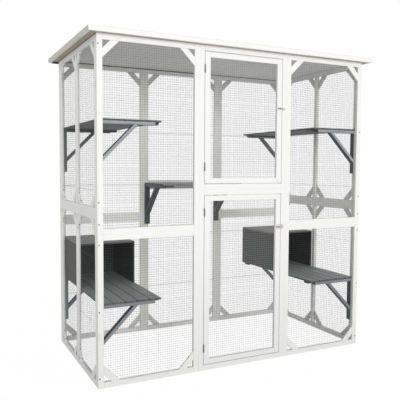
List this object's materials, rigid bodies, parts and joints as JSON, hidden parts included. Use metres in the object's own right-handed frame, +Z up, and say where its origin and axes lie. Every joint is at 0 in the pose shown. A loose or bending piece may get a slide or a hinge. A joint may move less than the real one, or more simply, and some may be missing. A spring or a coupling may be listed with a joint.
{
  "type": "outdoor cat enclosure",
  "caption": "Tall outdoor cat enclosure of white timber panels and wire mesh, one door above the other, slatted shelves on brackets, open nest boxes and a flat roof.",
  "frame": {"origin": "centre of the bounding box on the ground, under the middle of the roof", "axes": "+Z up, -Y out of the front with the doors, +X to the right seen from the front"},
  "size_m": [1.81, 0.98, 1.828],
  "materials": {
    "painted_timber": "satin white paint",
    "slat_timber": "grey stain",
    "bracket_timber": "grey stain",
    "nest_timber": "dark grey stain",
    "nest_top_timber": "grey stain",
    "roof_board": "sealed board",
    "roof_felt": "mineral roofing felt",
    "wire_mesh": "galvanised",
    "zinc_hardware": "zinc plated"
  },
  "bodies": {
    "enclosure": {"front_left_lower_frame": "painted_timber", "front_left_upper_frame": "painted_timber", "front_right_lower_frame": "painted_timber", "front_right_upper_frame": "painted_timber", "lower_door_surround": "painted_timber", "upper_door_surround": "painted_timber", "left_lower_frame": "painted_timber", "left_upper_frame": "painted_timber", "right_lower_frame": "painted_timber", "right_upper_frame": "painted_timber", "back_left_lower_frame": "painted_timber", "back_left_upper_frame": "painted_timber", "back_centre_lower_frame": "painted_timber", "back_centre_upper_frame": "painted_timber", "back_right_lower_frame": "painted_timber", "back_right_upper_frame": "painted_timber", "front_mesh": "wire_mesh", "left_mesh": "wire_mesh", "right_mesh": "wire_mesh", "back_mesh": "wire_mesh", "lower_hinge_fixed_leaves": "zinc_hardware", "lower_hinge_pins": "zinc_hardware", "upper_hinge_fixed_leaves": "zinc_hardware", "upper_hinge_pins": "zinc_hardware", "lower_bolt_keeper": "zinc_hardware", "upper_bolt_keeper": "zinc_hardware", "lower_left_platform": "slat_timber", "lower_right_platform": "slat_timber", "centre_platform": "slat_timber", "upper_left_platform": "slat_timber", "upper_right_platform": "slat_timber", "lower_left_brackets": "bracket_timber", "lower_right_brackets": "bracket_timber", "centre_brackets": "bracket_timber", "upper_left_brackets": "bracket_timber", "upper_right_brackets": "bracket_timber", "left_nest_walls": "nest_timber", "left_nest_top": "nest_top_timber", "right_nest_walls": "nest_timber", "right_nest_top": "nest_top_timber", "roof_left_deck": "roof_board", "roof_centre_deck": "roof_board", "roof_right_deck": "roof_board", "roof_fascia": "painted_timber", "roof_felt": "roof_felt", "post_screws": "zinc_hardware"},
    "lower_door": {"lower_door_frame": "painted_timber", "lower_door_mesh": "wire_mesh", "lower_hinge_door_leaves": "zinc_hardware", "lower_bolt_body": "zinc_hardware"},
    "upper_door": {"upper_door_frame": "painted_timber", "upper_door_mesh": "wire_mesh", "upper_hinge_door_leaves": "zinc_hardware", "upper_bolt_body": "zinc_hardware"},
    "lower_bolt": {"lower_bolt": "zinc_hardware"},
    "upper_bolt": {"upper_bolt": "zinc_hardware"}
  },
  "joints": [
    {"name": "lower_door_hinge", "type": "hinge", "parent": "enclosure", "child": "lower_door", "pos_m": [-0.2535, -0.4573, 0.508], "axis": [0, 0, 1], "range_deg": [-165, 0]},
    {"name": "upper_door_hinge", "type": "hinge", "parent": "enclosure", "child": "upper_door", "pos_m": [-0.2535, -0.4573, 1.408], "axis": [0, 0, 1], "range_deg": [-165, 0]},
    {"name": "lower_bolt_slide", "type": "slide", "parent": "lower_door", "child": "lower_bolt", "axis": [1, 0, 0], "range_m": [0, 0.012]},
    {"name": "upper_bolt_slide", "type": "slide", "parent": "upper_door", "child": "upper_bolt", "axis": [1, 0, 0], "range_m": [0, 0.012]}
  ]
}
